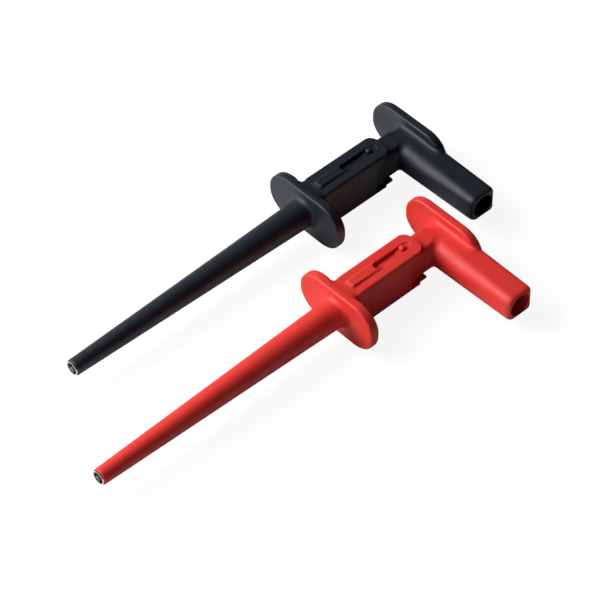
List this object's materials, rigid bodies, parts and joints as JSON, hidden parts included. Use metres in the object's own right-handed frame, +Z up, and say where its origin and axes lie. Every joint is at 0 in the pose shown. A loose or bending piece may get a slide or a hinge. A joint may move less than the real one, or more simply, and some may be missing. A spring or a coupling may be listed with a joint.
{
  "type": "test clip",
  "caption": "Pair of plunger grabber clips for test leads: thumb plate pushes spring jaws out of a steel tube, arm with shrouded 4 mm socket",
  "frame": {"origin": "centre of the bounding box's bottom face: the surface that the flanges and thumb plates rest on", "axes": "+X along both tubes from the jaws to the thumb plates, arms and sockets face -Y, +Z up through the guide slots; the red clip lies at -Y, the black one at +Y"},
  "size_m": [0.213, 0.1164, 0.0244],
  "materials": {
    "red_plastic": "satin moulded insulation, red",
    "black_plastic": "satin moulded insulation, blue-black",
    "white_plastic": "natural acetal bush",
    "nickel_steel": "nickel-plated steel tube, holder and pins",
    "spring_steel": "drawn spring wire",
    "brass": "turned brass rod and collar",
    "plated_brass": "nickel-plated copper alloy contacts and jaws"
  },
  "bodies": {
    "barrels": {"red_barrel": "red_plastic", "red_guide_tube": "nickel_steel", "red_rod_bush": "white_plastic", "red_return_spring": "spring_steel", "black_barrel": "black_plastic", "black_guide_tube": "nickel_steel", "black_rod_bush": "white_plastic", "black_return_spring": "spring_steel"},
    "red_plunger": {"red_plunger": "red_plastic", "red_guide_pin": "red_plastic", "red_contact_rod": "brass", "red_rod_collar": "brass", "red_socket_insert": "black_plastic", "red_socket_contact": "plated_brass", "red_jaw_holder": "nickel_steel", "red_jaw_pins": "nickel_steel"},
    "red_upper_jaw": {"red_upper_jaw": "plated_brass"},
    "red_lower_jaw": {"red_lower_jaw": "plated_brass"},
    "black_plunger": {"black_plunger": "black_plastic", "black_guide_pin": "black_plastic", "black_contact_rod": "brass", "black_rod_collar": "brass", "black_socket_insert": "black_plastic", "black_socket_contact": "plated_brass", "black_jaw_holder": "nickel_steel", "black_jaw_pins": "nickel_steel"},
    "black_upper_jaw": {"black_upper_jaw": "plated_brass"},
    "black_lower_jaw": {"black_lower_jaw": "plated_brass"}
  },
  "joints": [
    {"name": "red_plunger_slide", "type": "slide", "parent": "barrels", "child": "red_plunger", "axis": [-1, 0, 0], "range_m": [0, 0.0115], "stiffness_N_per_m": 660, "springref_m": -0.004, "deforming": ["red_return_spring"]},
    {"name": "red_upper_jaw_hinge", "type": "hinge", "parent": "red_plunger", "child": "red_upper_jaw", "pos_m": [-0.0855, -0.01075, 0.013], "axis": [0, 1, 0], "range_deg": [0, 7.5]},
    {"name": "red_lower_jaw_hinge", "type": "hinge", "parent": "red_plunger", "child": "red_lower_jaw", "pos_m": [-0.0855, -0.01075, 0.0114], "axis": [0, -1, 0], "range_deg": [0, 7.5]},
    {"name": "black_plunger_slide", "type": "slide", "parent": "barrels", "child": "black_plunger", "axis": [-1, 0, 0], "range_m": [0, 0.0115], "stiffness_N_per_m": 660, "springref_m": -0.004, "deforming": ["black_return_spring"]},
    {"name": "black_upper_jaw_hinge", "type": "hinge", "parent": "black_plunger", "child": "black_upper_jaw", "pos_m": [-0.0575, 0.03775, 0.013], "axis": [0, 1, 0], "range_deg": [0, 7.5]},
    {"name": "black_lower_jaw_hinge", "type": "hinge", "parent": "black_plunger", "child": "black_lower_jaw", "pos_m": [-0.0575, 0.03775, 0.0114], "axis": [0, -1, 0], "range_deg": [0, 7.5]}
  ],
  "couplings": [
    {"joint": "red_upper_jaw_hinge", "follows": "red_plunger_slide", "rad_per_m": 11},
    {"joint": "red_lower_jaw_hinge", "follows": "red_plunger_slide", "rad_per_m": 11},
    {"joint": "black_upper_jaw_hinge", "follows": "black_plunger_slide", "rad_per_m": 11},
    {"joint": "black_lower_jaw_hinge", "follows": "black_plunger_slide", "rad_per_m": 11}
  ]
}
